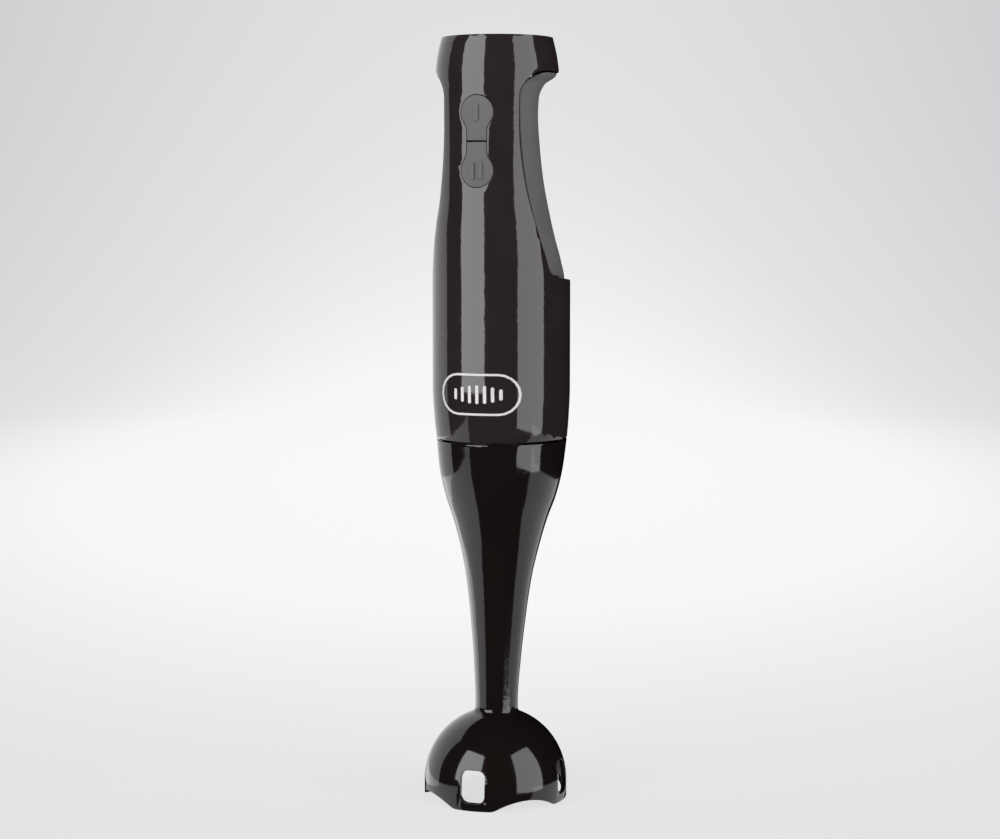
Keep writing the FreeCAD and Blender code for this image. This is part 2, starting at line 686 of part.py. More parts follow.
def upper_bracket():
    """Plate above the commutator that holds the upper bearing and the brush holders."""
    low = UPPER_PLATE_Z
    plate = cylinder(STATOR_RADIUS - 1.0, low, UPPER_BEARING_Z)
    arms = box((-EAR_X, EAR_X), (-3.0, 3.0), (low, UPPER_BEARING_Z))
    cup = cylinder(BEARING_RADIUS + 2.4, low, UPPER_BEARING_Z + BEARING_WIDTH)
    posts = [cylinder(EAR_RADIUS - 0.4, STATOR_TOP, UPPER_BEARING_Z, x) for x in (-EAR_X, EAR_X)]
    body = join([plate, arms, cup] + posts)
    body = body.cut(cylinder(BEARING_RADIUS + PRESS_FIT, UPPER_BEARING_Z, UPPER_BEARING_Z + 20))
    body = body.cut(cylinder(SHAFT_RADIUS + 1.5, low - 1, UPPER_BEARING_Z + 1))
    for x in (-EAR_X, EAR_X):
        body = body.cut(cylinder(SCREW_RADIUS + LOOSE_FIT, STATOR_TOP - 1, UPPER_BEARING_Z + 1, x))
    return body


def bracket_screws():
    screws = []
    for x in (-EAR_X, EAR_X):
        stem = cylinder(SCREW_RADIUS, BRACKET_Z + 2.5, UPPER_BEARING_Z + 0.5, x)
        head = cylinder(SCREW_HEAD, UPPER_BEARING_Z, UPPER_BEARING_Z + 2.2, x)
        slot = box((x - 4, x + 4), (-0.4, 0.4), (UPPER_BEARING_Z + 1.2, UPPER_BEARING_Z + 3))
        screws.append(join([stem, head]).cut(slot))
    return group(screws)


def brush_parts():
    """Height and reach shared by the brushes, their holders and their springs."""
    return COMMUTATOR_Z + COMMUTATOR_LENGTH / 2, COMMUTATOR_RADIUS + 0.1, STATOR_RADIUS - 1.5


def brush_holders():
    z, reach, outer = brush_parts()
    holders = []
    for side in (1, -1):
        low, high = sorted((side * (reach + 1.4), side * outer))
        tube = box((-4.2, 4.2), (low, high), (z - 3.6, UPPER_PLATE_Z))
        holders.append(tube.cut(box((-3.1, 3.1), (low - 1, high - 1) if side > 0 else (low + 1, high + 1),
                                    (z - 2.6, z + 2.6))))
    return group(holders)


def carbon_brushes():
    z, reach, _ = brush_parts()
    brushes = []
    for side in (1, -1):
        low, high = sorted((side * reach, side * (reach + 7.0)))
        brushes.append(box((-3.0, 3.0), (low, high), (z - 2.5, z + 2.5)))
    return group(brushes)


def brush_springs():
    z, reach, outer = brush_parts()
    springs = []
    for side in (1, -1):
        low = reach + 7.0
        high = outer - 1.0
        pitch = (high - low - 0.5) / 3
        turns = []
        for i in range(4):
            y = side * (low + 0.25 + i * pitch)
            turns.append(Part.makeTorus(1.7, 0.25, Vector(0, y, z), Vector(0, 1, 0)))
        ends = sorted((side * (low + 0.25), side * (high - 0.25)))
        spine = rod(0.2, ends[0], ends[1], z, 1.7)
        springs.append(join(turns + [spine]))
    return group(springs)


def motor_shaft():
    low = DOG_Z + 1.0
    shaft = cylinder(SHAFT_RADIUS, low, SHAFT_TOP)
    return shaft


def slot_bars(radius, low, high):
    bar = cylinder(radius, low, high, ARMATURE_RADIUS - 2.6)
    return around(bar, ARMATURE_SLOTS)


def armature_core():
    core = ring(ARMATURE_RADIUS, SHAFT_RADIUS + PRESS_FIT, STATOR_Z, STATOR_TOP)
    for slot in slot_bars(1.45, STATOR_Z - 1, STATOR_TOP + 1):
        core = core.cut(slot)
    mouth = box((ARMATURE_RADIUS - 2.6, ARMATURE_RADIUS + 1), (-0.5, 0.5), (STATOR_Z - 1, STATOR_TOP + 1))
    for slot in around(mouth, ARMATURE_SLOTS):
        core = core.cut(slot)
    return core


def armature_windings():
    low, high = STATOR_Z - 3.2, STATOR_TOP + 4.0
    outer = ARMATURE_RADIUS - 1.1
    ends = [ring(outer, SHAFT_RADIUS + 0.6, low, STATOR_Z - 0.2),
            ring(outer, SHAFT_RADIUS + 0.6, STATOR_TOP + 0.2, high)]
    return join(ends + slot_bars(1.35, low + 1, high - 1))


def commutator():
    low, high = COMMUTATOR_Z, COMMUTATOR_Z + COMMUTATOR_LENGTH
    body = ring(COMMUTATOR_RADIUS, SHAFT_RADIUS + PRESS_FIT, low, high)
    riser = ring(COMMUTATOR_RADIUS + 1.2, SHAFT_RADIUS + PRESS_FIT, low - 1.5, low)
    body = join([body, riser])
    slit = box((COMMUTATOR_RADIUS - 1.2, COMMUTATOR_RADIUS + 2), (-0.2, 0.2), (low - 2, high + 1))
    for cut in around(slit, ARMATURE_SLOTS, 15.0):
        body = body.cut(cut)
    return body


def cooling_fan():
    hub = ring(4.5, SHAFT_RADIUS + PRESS_FIT, FAN_Z, FAN_Z + FAN_HEIGHT)
    disc = ring(FAN_RADIUS, SHAFT_RADIUS + PRESS_FIT, FAN_Z, FAN_Z + 1.4)
    blade = box((4.0, FAN_RADIUS - 0.4), (-0.6, 0.6), (FAN_Z + 1.0, FAN_Z + FAN_HEIGHT))
    blade.rotate(Vector(FAN_RADIUS / 2, 0, 0), Vector(0, 0, 1), 22)
    blades = [b.common(cylinder(FAN_RADIUS, FAN_Z, FAN_Z + FAN_HEIGHT)) for b in around(blade, FAN_BLADES)]
    return join([hub, disc] + blades).cut(cylinder(SHAFT_RADIUS + PRESS_FIT, FAN_Z - 1, FAN_Z + 20))


def drive_dog():
    """Hexagonal driver pressed on the motor shaft, inside the spigot."""
    hexagon = regular_prism(DOG_RADIUS, 6, DOG_Z, COUPLING_TOP + 1.5)
    collar = cylinder(DOG_RADIUS + 2.0, COUPLING_TOP + 1.5, COUPLING_TOP + 4.5)
    body = join([hexagon, collar])
    return body.cut(cylinder(SHAFT_RADIUS + PRESS_FIT, DOG_Z + 1.0, COUPLING_TOP + 5))


def motor_leads():
    """Two insulated leads from the foot of the switch board down to the upper bracket."""
    board_foot = BUTTON_MIDDLE_Z - BUTTON_SPACING / 2 - 9.5
    y = SWITCH_Y + 6.0 - 0.9
    return group(cylinder(0.8, UPPER_BEARING_Z + 0.1, board_foot + 0.8, x, y) for x in (-9.0, 9.0))


# ---------------------------------------------------------------- quick-release joint
def socket_collar():
    """Flange that closes the barrel, with the round spigot the stem pushes onto."""
    flange = barrel_disc(FLANGE_Z, FLANGE_Z + FLANGE_THICKNESS)
    spigot = ring(SPIGOT_RADIUS, SPIGOT_RADIUS - SPIGOT_WALL, SPIGOT_Z, FLANGE_Z + 1.0)
    body = join([flange, spigot])
    body = body.cut(cylinder(SPIGOT_RADIUS - SPIGOT_WALL, FLANGE_Z - 1, FLANGE_Z + 1.2))
    body = body.cut(cylinder(SHAFT_RADIUS + 1.5, FLANGE_Z, FLANGE_Z + 10))
    for x, y in screw_bosses():
        body = body.cut(cylinder(SCREW_RADIUS + LOOSE_FIT, FLANGE_Z - 1, FLANGE_Z + 9, x, y))
        body = body.cut(cylinder(SCREW_HEAD + 0.2, FLANGE_Z - 1, FLANGE_Z + 1.3, x, y))
    groove = ring(SPIGOT_RADIUS + 1, SPIGOT_RADIUS - 1.2, BARREL_Z - 5.0, BARREL_Z - 3.0)
    pocket = box((SPIGOT_RADIUS - 1.6, SPIGOT_RADIUS + 1), (-4.0, 4.0), (SPIGOT_Z + 2.5, SPIGOT_Z + 7.5))
    body = body.cut(groove)
    for cut in around(pocket, 2):
        body = body.cut(cut)
    return body


def collar_screws():
    screws = []
    for x, y in screw_bosses():
        stem = cylinder(SCREW_RADIUS - 0.1, FLANGE_Z + 0.5, LOWER_BEARING_Z + 10.0, x, y)
        head = cylinder(SCREW_HEAD, FLANGE_Z + 0.1, FLANGE_Z + 1.3, x, y)
        slot = box((x - 4, x + 4), (y - 0.4, y + 0.4), (FLANGE_Z - 1, FLANGE_Z + 0.6))
        screws.append(join([stem, head]).cut(slot))
    return group(screws)


def collar_seal():
    """Rubber ring in the spigot's groove."""
    return ring(SPIGOT_RADIUS + SOCKET_FIT * 0.5, SPIGOT_RADIUS - 1.15, BARREL_Z - 4.95, BARREL_Z - 3.05)


def retaining_clips():
    """Two leaf springs on the spigot whose noses click into the stem's groove."""
    leaf = box((SPIGOT_RADIUS - 1.5, SPIGOT_RADIUS - 0.9), (-3.8, 3.8), (SPIGOT_Z + 2.6, SPIGOT_Z + 7.4))
    nose = Part.makeCylinder(1.6, 6.0, Vector(SPIGOT_RADIUS - 0.7, -3.0, SPIGOT_Z + 5.0), Vector(0, 1, 0))
    nose = nose.common(box((SPIGOT_RADIUS - 1.2, SPIGOT_RADIUS + 5), (-4, 4), (SPIGOT_Z, SPIGOT_Z + 10)))
    return group(around(join([leaf, nose]), 2))


# ---------------------------------------------------------------- stem
def stem_outline():
    """Rows for the stem from inside the bell's crown up to its rim."""
    neck = (NECK_RADIUS, NECK_RADIUS - NECK_OFFSET, NECK_RADIUS + NECK_OFFSET)
    rim = (SEAM_HALF_WIDTH - 0.1, SEAM_FRONT, SEAM_BACK - 0.1)
    rows = [(NECK_Z - 9.0, *neck)]
    for share in STEM_FLARE:
        sizes = [low + (high - low) * t for low, high, t in zip(neck, rim, share[1:])]
        rows.append((NECK_Z + (STEM_LENGTH - NECK_Z) * share[0], *sizes))
    return rows


def bell_dome(radius, low):
    """Hemisphere on a cylinder, from a low height up."""
    ball = Part.makeSphere(radius, Vector(0, 0, BELL_SKIRT))
    upper = ball.common(slab(BELL_SKIRT, BELL_SKIRT + radius + 1))
    return join([upper, cylinder(radius, low, BELL_SKIRT)])


def rounded_window():
    """Window through the bell's wall on the front side."""
    half = WINDOW_WIDTH / 2
    block = box((-half, half), (-BELL_RADIUS - 5, -BELL_RADIUS + 12), (WINDOW_LOW, WINDOW_HIGH))
    edges = [
        e
        for e in block.Edges
        if abs(e.BoundBox.YLength - 17.0) < 0.01 and e.BoundBox.XLength < 0.01
    ]
    return block.makeFillet(WINDOW_CORNER, edges)


def rim_notch():
    """Low arch cut in the rim halfway between two windows."""
    half = BELL_RADIUS * math.sin(math.radians(NOTCH_SPAN / 2))
    radius = (half**2 + NOTCH_HEIGHT**2) / (2 * NOTCH_HEIGHT)
    depth = BELL_RADIUS * 0.6
    start = Vector(0, -BELL_RADIUS - 5, NOTCH_HEIGHT - radius)
    arch = Part.makeCylinder(radius, depth, start, Vector(0, 1, 0))
    return arch.common(slab(-BELL_RADIUS, NOTCH_HEIGHT + 1))


def stem_blank():
    """Bell, neck and flare outside, with the flare already hollow above the lower bush."""
    outline = stem_outline()
    bell = bell_dome(BELL_RADIUS, 0.0).fuse(oval_loft(outline, NECK_Z - 9.0, BORE_Z))
    corner = [
        edge
        for edge in bell.Edges
        if NECK_Z - 9 < edge.BoundBox.ZMin and edge.BoundBox.ZMax < NECK_Z - 0.5
    ]
    bell = bell.makeFillet(NECK_FILLET, corner)
    flare = wall_tube(outline, BORE_Z, STEM_LENGTH, STEM_WALL)
    return join([bell, flare])


def stem_shell():
    shell = stem_blank()
    hollow = bell_dome(BELL_RADIUS - BELL_WALL, -5.0)
    shell = shell.cut(hollow.cut(cylinder(SEAL_RADIUS + 2.2, SEAL_Z - 1.0, BELL_RADIUS + 20)))
    shell = shell.cut(cylinder(BUSH_RADIUS + PRESS_FIT, LOWER_BUSH_Z, BORE_Z + 1))
    shell = shell.cut(cylinder(CUTTER_SHAFT_RADIUS + 0.6, SEAL_Z, LOWER_BUSH_Z + 1))
    shell = shell.cut(cylinder(SEAL_RADIUS + PRESS_FIT, SEAL_Z - 2, SEAL_Z + SEAL_LENGTH))
    for window in around(rounded_window(), WINDOW_COUNT):
        shell = shell.cut(window)
    for notch in around(rim_notch(), WINDOW_COUNT, 180.0 / WINDOW_COUNT):
        shell = shell.cut(notch)
    corners = [
        edge
        for edge in shell.Edges
        if abs(edge.BoundBox.ZMin) + abs(edge.BoundBox.ZMax) < 0.01
        and edge.Length < 2 * BELL_WALL
    ]
    return shell.makeFillet(LOBE_ROUND, corners)


def stem_insert():
    """Socket in the stem's mouth for the spigot, with the upper bush below it."""
    outline = stem_outline()
    high = STEM_LENGTH - 2.5
    plate = oval_loft(outline, high - 2.0, high, STEM_WALL + 0.35)
    socket = cylinder(SPIGOT_RADIUS + SOCKET_FIT + 1.6, SOCKET_FLOOR_Z - 2.5, high)
    bush_seat = cylinder(BUSH_RADIUS + 2.2, UPPER_BUSH_Z, SOCKET_FLOOR_Z - 1.5)
    block = join([plate, socket, bush_seat])
    block = block.cut(cylinder(SPIGOT_RADIUS + SOCKET_FIT, SOCKET_FLOOR_Z + 1.0, TOP_Z))
    block = block.cut(cylinder(COUPLING_RADIUS + 1.0, SOCKET_FLOOR_Z - 1.0, TOP_Z))
    block = block.cut(cylinder(CUTTER_SHAFT_RADIUS + 0.6, 0, TOP_Z))
    block = block.cut(cylinder(BUSH_RADIUS + PRESS_FIT, 0, UPPER_BUSH_Z + BUSH_LENGTH))
    depth = SPIGOT_RADIUS + SOCKET_FIT + 1.1
    return block.cut(ring(depth, SPIGOT_RADIUS - 1, SPIGOT_Z + 3.0, SPIGOT_Z + 7.0))


def bush(low):
    return ring(BUSH_RADIUS, CUTTER_SHAFT_RADIUS + RUNNING_FIT, low, low + BUSH_LENGTH)


def shaft_seal():
    return ring(SEAL_RADIUS, CUTTER_SHAFT_RADIUS + RUNNING_FIT, SEAL_Z, SEAL_Z + SEAL_LENGTH)


def drive_shaft():
    return cylinder(CUTTER_SHAFT_RADIUS, BLADE_Z - 1.0, CUTTER_SHAFT_TOP)


def stem_coupling():
    """Cup with a hexagonal socket on top of the cutter's shaft."""
    low = SOCKET_FLOOR_Z - 0.5
    cup = cylinder(COUPLING_RADIUS, low, COUPLING_TOP)
    cup = cup.cut(regular_prism(DOG_RADIUS + DOG_FIT, 6, DOG_Z - 0.5, COUPLING_TOP + 1))
    return cup.cut(cylinder(CUTTER_SHAFT_RADIUS + PRESS_FIT, low - 1, CUTTER_SHAFT_TOP + 0.2))


def blade():
    """Two pitched wings, their tips bent up and down."""
    half = BLADE_CHORD / 2
    hub_x = 7.0
    root = box((-hub_x, hub_x), (-half, half), (BLADE_Z, BLADE_Z + BLADE_THICKNESS))
    wing_outline = [(hub_x - 1.0, -half), (BLADE_TIP - 3.0, -half * 0.72), (BLADE_TIP, -half * 0.2),
                    (BLADE_TIP - 1.5, half * 0.45), (hub_x - 1.0, half)]
    wing = polygon_prism(wing_outline, BLADE_Z, BLADE_Z + BLADE_THICKNESS)
    up = wing.copy()
    up.rotate(Vector(hub_x - 0.8, 0, BLADE_Z + BLADE_THICKNESS / 2), Vector(0, 1, 0), -12)
    down = wing.copy()
    down.rotate(Vector(hub_x - 0.8, 0, BLADE_Z + BLADE_THICKNESS / 2), Vector(0, 1, 0), 7)
    body = join([root, up, turned(down, 180)])
    return turned(body, 107).cut(cylinder(CUTTER_SHAFT_RADIUS + PRESS_FIT, 0, 60))


def blade_hub():
    """Sleeve above the blade and domed nut below it."""
    sleeve = ring(5.0, CUTTER_SHAFT_RADIUS + PRESS_FIT, BLADE_Z + BLADE_THICKNESS + 0.1, SEAL_Z - 2.5)
    return sleeve


def blade_nut():
    nut = regular_prism(5.4, 6, BLADE_Z - 3.2, BLADE_Z - 0.1)
    return nut.cut(cylinder(CUTTER_SHAFT_RADIUS + PRESS_FIT, BLADE_Z - 1.2, BLADE_Z + 1))


NODES = {
    "housing_shell": housing_shell,
    "rear_grip": rear_grip,
    "top_cap": top_cap,
    "cord_gland": cord_gland,
    "button_low_speed": lambda: button(1),
    "button_high_speed": lambda: button(-1),
    "plunger_low_speed": lambda: plunger(1),
    "plunger_high_speed": lambda: plunger(-1),
    "spring_low_speed": lambda: button_spring(1),
    "spring_high_speed": lambda: button_spring(-1),
    "button_guide": button_guide,
    "switch_low_speed": lambda: switch_body(1),
    "switch_high_speed": lambda: switch_body(-1),
    "switch_board": switch_board,
    "suppressor_capacitor": suppressor_capacitor,
    "motor_leads": motor_leads,
    "stator_core": stator_core,
    "field_coils": field_coils,
    "lower_bracket": lower_bracket,
    "upper_bracket": upper_bracket,
    "bracket_screws": bracket_screws,
    "lower_bearing": lambda: bearing(LOWER_BEARING_Z),
    "upper_bearing": lambda: bearing(UPPER_BEARING_Z),
    "brush_holders": brush_holders,
    "carbon_brushes": carbon_brushes,
    "brush_springs": brush_springs,
    "motor_shaft": motor_shaft,
    "armature_core": armature_core,
    "armature_windings": armature_windings,
    "commutator": commutator,
    "cooling_fan": cooling_fan,
    "drive_dog": drive_dog,
    "socket_collar": socket_collar,
    "collar_screws": collar_screws,
    "collar_seal": collar_seal,
    "retaining_clips": retaining_clips,
    "stem_shell": stem_shell,
    "stem_insert": stem_insert,
    "upper_bush": lambda: bush(UPPER_BUSH_Z),
    "lower_bush": lambda: bush(LOWER_BUSH_Z),
    "shaft_seal": shaft_seal,
    "drive_shaft": drive_shaft,
    "stem_coupling": stem_coupling,
    "blade": blade,
    "blade_sleeve": blade_hub,
    "blade_nut": blade_nut,
}


def main():
    os.makedirs("parts", exist_ok=True)
    for name, make in NODES.items():
        shape = make()
        shape.exportStep(f"parts/{name}.step")
        print(f"{name:22s} solids {len(shape.Solids)} volume {shape.Volume:10.1f} valid {shape.isValid()}")


main()
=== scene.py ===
import json
import math

import bmesh
import bpy
from mathutils import Matrix, Vector
from mathutils.bvhtree import BVHTree


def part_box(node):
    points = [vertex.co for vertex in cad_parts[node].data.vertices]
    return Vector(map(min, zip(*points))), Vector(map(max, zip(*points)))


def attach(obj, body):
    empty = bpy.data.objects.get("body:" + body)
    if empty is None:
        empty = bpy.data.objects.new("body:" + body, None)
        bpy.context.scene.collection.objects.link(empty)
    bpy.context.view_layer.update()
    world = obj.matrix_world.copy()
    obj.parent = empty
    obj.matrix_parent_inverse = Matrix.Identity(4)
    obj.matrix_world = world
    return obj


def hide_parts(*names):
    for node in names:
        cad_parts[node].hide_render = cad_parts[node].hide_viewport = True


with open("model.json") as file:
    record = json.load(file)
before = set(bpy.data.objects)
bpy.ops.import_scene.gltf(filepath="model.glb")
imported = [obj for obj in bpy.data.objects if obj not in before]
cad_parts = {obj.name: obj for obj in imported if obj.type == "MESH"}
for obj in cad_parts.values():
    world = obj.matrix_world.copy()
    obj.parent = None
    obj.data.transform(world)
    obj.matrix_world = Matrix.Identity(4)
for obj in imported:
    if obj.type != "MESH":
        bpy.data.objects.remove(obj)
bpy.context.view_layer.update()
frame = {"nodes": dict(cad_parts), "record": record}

MM = 0.001
NODES = frame["nodes"]

# Heights on the object, in metres.
SEAM_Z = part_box("housing_shell")[0].z
BUTTON_MIDDLE_Z = (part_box("button_high_speed")[0].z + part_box("button_low_speed")[1].z) / 2
NUMERAL_ONE_Z = BUTTON_MIDDLE_Z + 12.7 * MM
NUMERAL_TWO_Z = BUTTON_MIDDLE_Z - 13.1 * MM
BADGE_Z = SEAM_Z + 22 * MM

# Rounding of the edges on the finer pieces.
HOUSING_EDGE = 0.7 * MM
MOULDED_EDGE = 0.6 * MM
CAP_EDGE = 0.5 * MM
NUMERAL_EDGE = 0.15 * MM

# Raised numerals: upright bars with rounded corners.
NUMERAL_WIDTH = 1.9 * MM
NUMERAL_HEIGHT = 7.6 * MM
NUMERAL_RELIEF = 0.7 * MM
NUMERAL_CORNER = 0.3 * MM
NUMERAL_OFFSET = 1.9 * MM

# Printed badge: a capsule outline round a row of bars, the middle one tallest.
BADGE_WIDTH = 38 * MM
BADGE_HEIGHT = 19 * MM
BADGE_CORNER = 9.3 * MM
BADGE_LINE = 1.0 * MM
BADGE_BARS = 7
BADGE_BAR_PITCH = 3.6 * MM
BADGE_BAR_WIDTH = 1.5 * MM
BADGE_BAR_CORNER = 0.7 * MM
BADGE_BAR_BASE = 4.0 * MM
BADGE_BAR_RISE = 4.5 * MM
BADGE_STRIP = 1.0 * MM
INK_THICKNESS = 0.12 * MM

# Sizes of the marks in the finishes.
PEEL_SWELL = 6 * MM
DUST_SPECK = 0.9 * MM
GLOSS_CLOUD = 22 * MM
MATT_CLOUD = 18 * MM
TOOL_LINE = 0.5 * MM
METAL_STAIN = 7 * MM
# The wave texture turns through this many radians for each unit of length and of scale.
WAVE_RADIANS = 20


# ---------------------------------------------------------------- materials
def linear(code):
    """Linear colour of an sRGB hex code."""
    shares = [int(code[i : i + 2], 16) / 255 for i in (1, 3, 5)]
    return tuple(s / 12.92 if s <= 0.04045 else ((s + 0.055) / 1.055) ** 2.4 for s in shares) + (1.0,)


def add_node(tree, kind, settings=None, **inputs):
    """Node with its settings, and its inputs set or linked by name."""
    node = tree.nodes.new(kind)
    for name, value in (settings or {}).items():
        setattr(node, name, value)
    for name, value in inputs.items():
        key = int(name[1:]) if name[0] == "i" and name[1:].isdigit() else name.replace("_", " ")
        socket = node.inputs[key]
        if isinstance(value, bpy.types.NodeSocket):
            tree.links.new(value, socket)
        else:
            socket.default_value = value
    return node


def start_finish(name):
    """Empty material with its output, and the place on the piece in metres."""
    material = bpy.data.materials.new(name)
    material.use_nodes = True
    tree = material.node_tree
    tree.nodes.clear()
    place = add_node(tree, "ShaderNodeTexCoord").outputs["Object"]
    return material, tree, place


def ramp(tree, factor, stops):
    """Colour ramp through (position, hex colour or grey level) stops."""
    node = add_node(tree, "ShaderNodeValToRGB", Fac=factor)
    points = node.color_ramp.elements
    while len(points) < len(stops):
        points.new(0.5)
    for point, (position, level) in zip(points, stops):
        point.position = position
        point.color = linear(level) if isinstance(level, str) else (level, level, level, 1.0)
    return node.outputs["Color"]


def close_finish(tree, **inputs):
    shader = add_node(tree, "ShaderNodeBsdfPrincipled", **inputs)
    add_node(tree, "ShaderNodeOutputMaterial", Surface=shader.outputs["BSDF"])


def gloss_plastic(name, dark, light, roughness):
    """High-gloss ABS from a polished mould.

    The skin mirrors the room with a faint orange peel, and dust breaks its roughness a little. The
    specks are about three times as coarse as real dust, so that they show.
    """
    material, tree, place = start_finish(name)
    peel = add_node(tree, "ShaderNodeTexNoise", Vector=place, Scale=1 / PEEL_SWELL, Detail=1.0)
    dust = add_node(tree, "ShaderNodeTexNoise", Vector=place, Scale=1 / DUST_SPECK, Detail=3.0)
    cloud = add_node(tree, "ShaderNodeTexNoise", Vector=place, Scale=1 / GLOSS_CLOUD, Detail=2.0)
    colour = ramp(tree, cloud.outputs["Fac"], [(0.3, dark), (0.7, light)])
    worn = ramp(tree, dust.outputs["Fac"], [(0.45, roughness), (0.75, roughness + 0.07)])
    swell = add_node(
        tree, "ShaderNodeBump", Strength=0.012, Distance=0.2 * MM, Height=peel.outputs["Fac"]
    )
    close_finish(
        tree, Base_Color=colour, Roughness=worn, Normal=swell.outputs["Normal"], IOR=1.53
    )
    return material


def soft_plastic(name, dark, light, roughness, grain, depth, ior=1.5):
    """Matt moulded plastic or rubber with a fine spark-eroded grain."""
    material, tree, place = start_finish(name)
    fine = add_node(tree, "ShaderNodeTexNoise", Vector=place, Scale=1 / grain, Detail=4.0, Roughness=0.6)
    pits = add_node(tree, "ShaderNodeTexVoronoi", Vector=place, Scale=1 / (1.6 * grain))
    cloud = add_node(tree, "ShaderNodeTexNoise", Vector=place, Scale=1 / MATT_CLOUD, Detail=3.0)
    colour = ramp(tree, cloud.outputs["Fac"], [(0.3, dark), (0.7, light)])
    rubbed = ramp(tree, cloud.outputs["Fac"], [(0.35, roughness), (0.7, roughness + 0.08)])
    grit = add_node(
        tree, "ShaderNodeBump", Strength=depth, Distance=0.05 * MM, Height=fine.outputs["Fac"]
    )
    skin = add_node(
        tree,
        "ShaderNodeBump",
        Strength=depth * 0.7,
        Distance=0.05 * MM,
        Height=pits.outputs["Distance"],
        Normal=grit.outputs["Normal"],
    )
    close_finish(
        tree, Base_Color=colour, Roughness=rubbed, Normal=skin.outputs["Normal"], IOR=ior
    )
    return material


def turned_metal(name, dark, light, roughness, stretch):
    """Metal with fine tool lines, stretched along the axes given."""
    material, tree, place = start_finish(name)
    aligned = add_node(tree, "ShaderNodeMapping", Vector=place, Scale=stretch)
    lines = add_node(
        tree, "ShaderNodeTexNoise", Vector=aligned.outputs["Vector"], Scale=1 / TOOL_LINE, Detail=3.0
    )
    stain = add_node(tree, "ShaderNodeTexNoise", Vector=place, Scale=1 / METAL_STAIN, Detail=4.0)
    colour = ramp(tree, stain.outputs["Fac"], [(0.3, dark), (0.7, light)])
    sheen = ramp(tree, lines.outputs["Fac"], [(0.3, roughness), (0.7, roughness + 0.16)])
    scratches = add_node(
        tree, "ShaderNodeBump", Strength=0.12, Distance=0.04 * MM, Height=lines.outputs["Fac"]
    )
    close_finish(
        tree,
        Base_Color=colour,
        Metallic=1.0,
        Roughness=sheen,
        Normal=scratches.outputs["Normal"],
    )
    return material


def layered_metal(name, dark, light, layer, direction, metallic, roughness):
    """Stacked sheets or turns of wire: bands of one layer's thickness along an axis."""
    material, tree, place = start_finish(name)
    bands = add_node(
        tree,
        "ShaderNodeTexWave",
        {"bands_direction": direction, "wave_profile": "SIN"},
        Vector=place,
        Scale=math.tau / (WAVE_RADIANS * layer),
        Distortion=0.6,
        Detail=1.0,
    )
    colour = ramp(tree, bands.outputs["Fac"], [(0.1, dark), (0.8, light)])
    ridges = add_node(
        tree, "ShaderNodeBump", Strength=0.6, Distance=layer / 3, Height=bands.outputs["Fac"]
    )
    close_finish(
        tree,
        Base_Color=colour,
        Metallic=metallic,
        Roughness=roughness,
        Normal=ridges.outputs["Normal"],
    )
    return material


FINISHES = {
    # Polished anthracite ABS, moulded: sharp mirror strips on a warm dark grey.
    "gloss_shell": gloss_plastic("polished_anthracite_abs", "#211b1e", "#251f21", 0.05),
    # The stem is heat-stable nylon blend with the same polish, a shade darker.
    "gloss_stem": gloss_plastic("polished_black_polyamide", "#110e0d", "#140f0e", 0.06),
    # Soft-touch elastomer moulded over the cover: dry and velvety, 0.5 mm grain.
    "soft_grip": soft_plastic("grey_soft_touch_elastomer", "#4c4949", "#525050", 0.6, 0.5 * MM, 0.25),
    # Buttons in a harder grade of the same elastomer.
    "soft_buttons": soft_plastic("grey_button_elastomer", "#545252", "#5a5858", 0.7, 0.4 * MM, 0.15),
    "rubber": soft_plastic("black_nitrile_rubber", "#141313", "#1b1a1a", 0.6, 0.6 * MM, 0.3),
    "moulded_plastic": soft_plastic("glass_filled_nylon", "#23211f", "#2c2a28", 0.45, 0.35 * MM, 0.2),
    "circuit_board": soft_plastic("green_fibreglass_laminate", "#1d4a2c", "#24583a", 0.35, 0.7 * MM, 0.15),
    "lead_insulation": soft_plastic("pvc_lead_insulation", "#7a1f1a", "#8a2822", 0.35, 0.5 * MM, 0.1),
    # Cores are stacked 0.5 mm sheets with oxide-dark gaps.
    "electrical_steel": layered_metal(
        "stacked_silicon_steel", "#3d3b3a", "#8b8988", 0.5 * MM, "Z", 1.0, 0.42
    ),
    # Windings are turns of 0.6 mm wire under amber enamel.
    "enamelled_copper": layered_metal(
        "amber_enamelled_wire", "#5e2c14", "#b8693a", 0.6 * MM, "Z", 0.7, 0.3
    ),
    "copper": turned_metal("turned_copper", "#b87350", "#cf8a63", 0.24, (1, 1, 12)),
    "carbon": soft_plastic("pressed_carbon", "#181818", "#242424", 0.5, 0.25 * MM, 0.3),
    "brass": turned_metal("stamped_brass", "#b5924a", "#c9a65a", 0.26, (1, 12, 1)),
    "bronze_bush": turned_metal("sintered_bronze", "#8c6a3c", "#a07c4a", 0.4, (1, 1, 12)),
    "steel": turned_metal("zinc_plated_steel", "#a9aaab", "#bfc0c1", 0.25, (1, 1, 12)),
    # The blade is stamped stainless, ground lightly along its length.
    "blade_steel": turned_metal("ground_stainless_steel", "#b4b5b6", "#c9cacb", 0.18, (2, 14, 14)),
}
PRINT_INK = soft_plastic("screen_print_white", "#b9b7b6", "#c4c2c1", 0.4, 0.3 * MM, 0.05)


# ---------------------------------------------------------------- mesh helpers
JOIN_REACH = 0.002 * MM


def put_in_scene(name, shape, material, body):
    """Object from a bmesh, at the origin, riding on a body."""
    mesh = bpy.data.meshes.new(name)
    shape.to_mesh(mesh)
    shape.free()
    mesh.materials.append(material)
    piece = bpy.data.objects.new(name, mesh)
    bpy.context.scene.collection.objects.link(piece)
    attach(piece, body)
    return piece


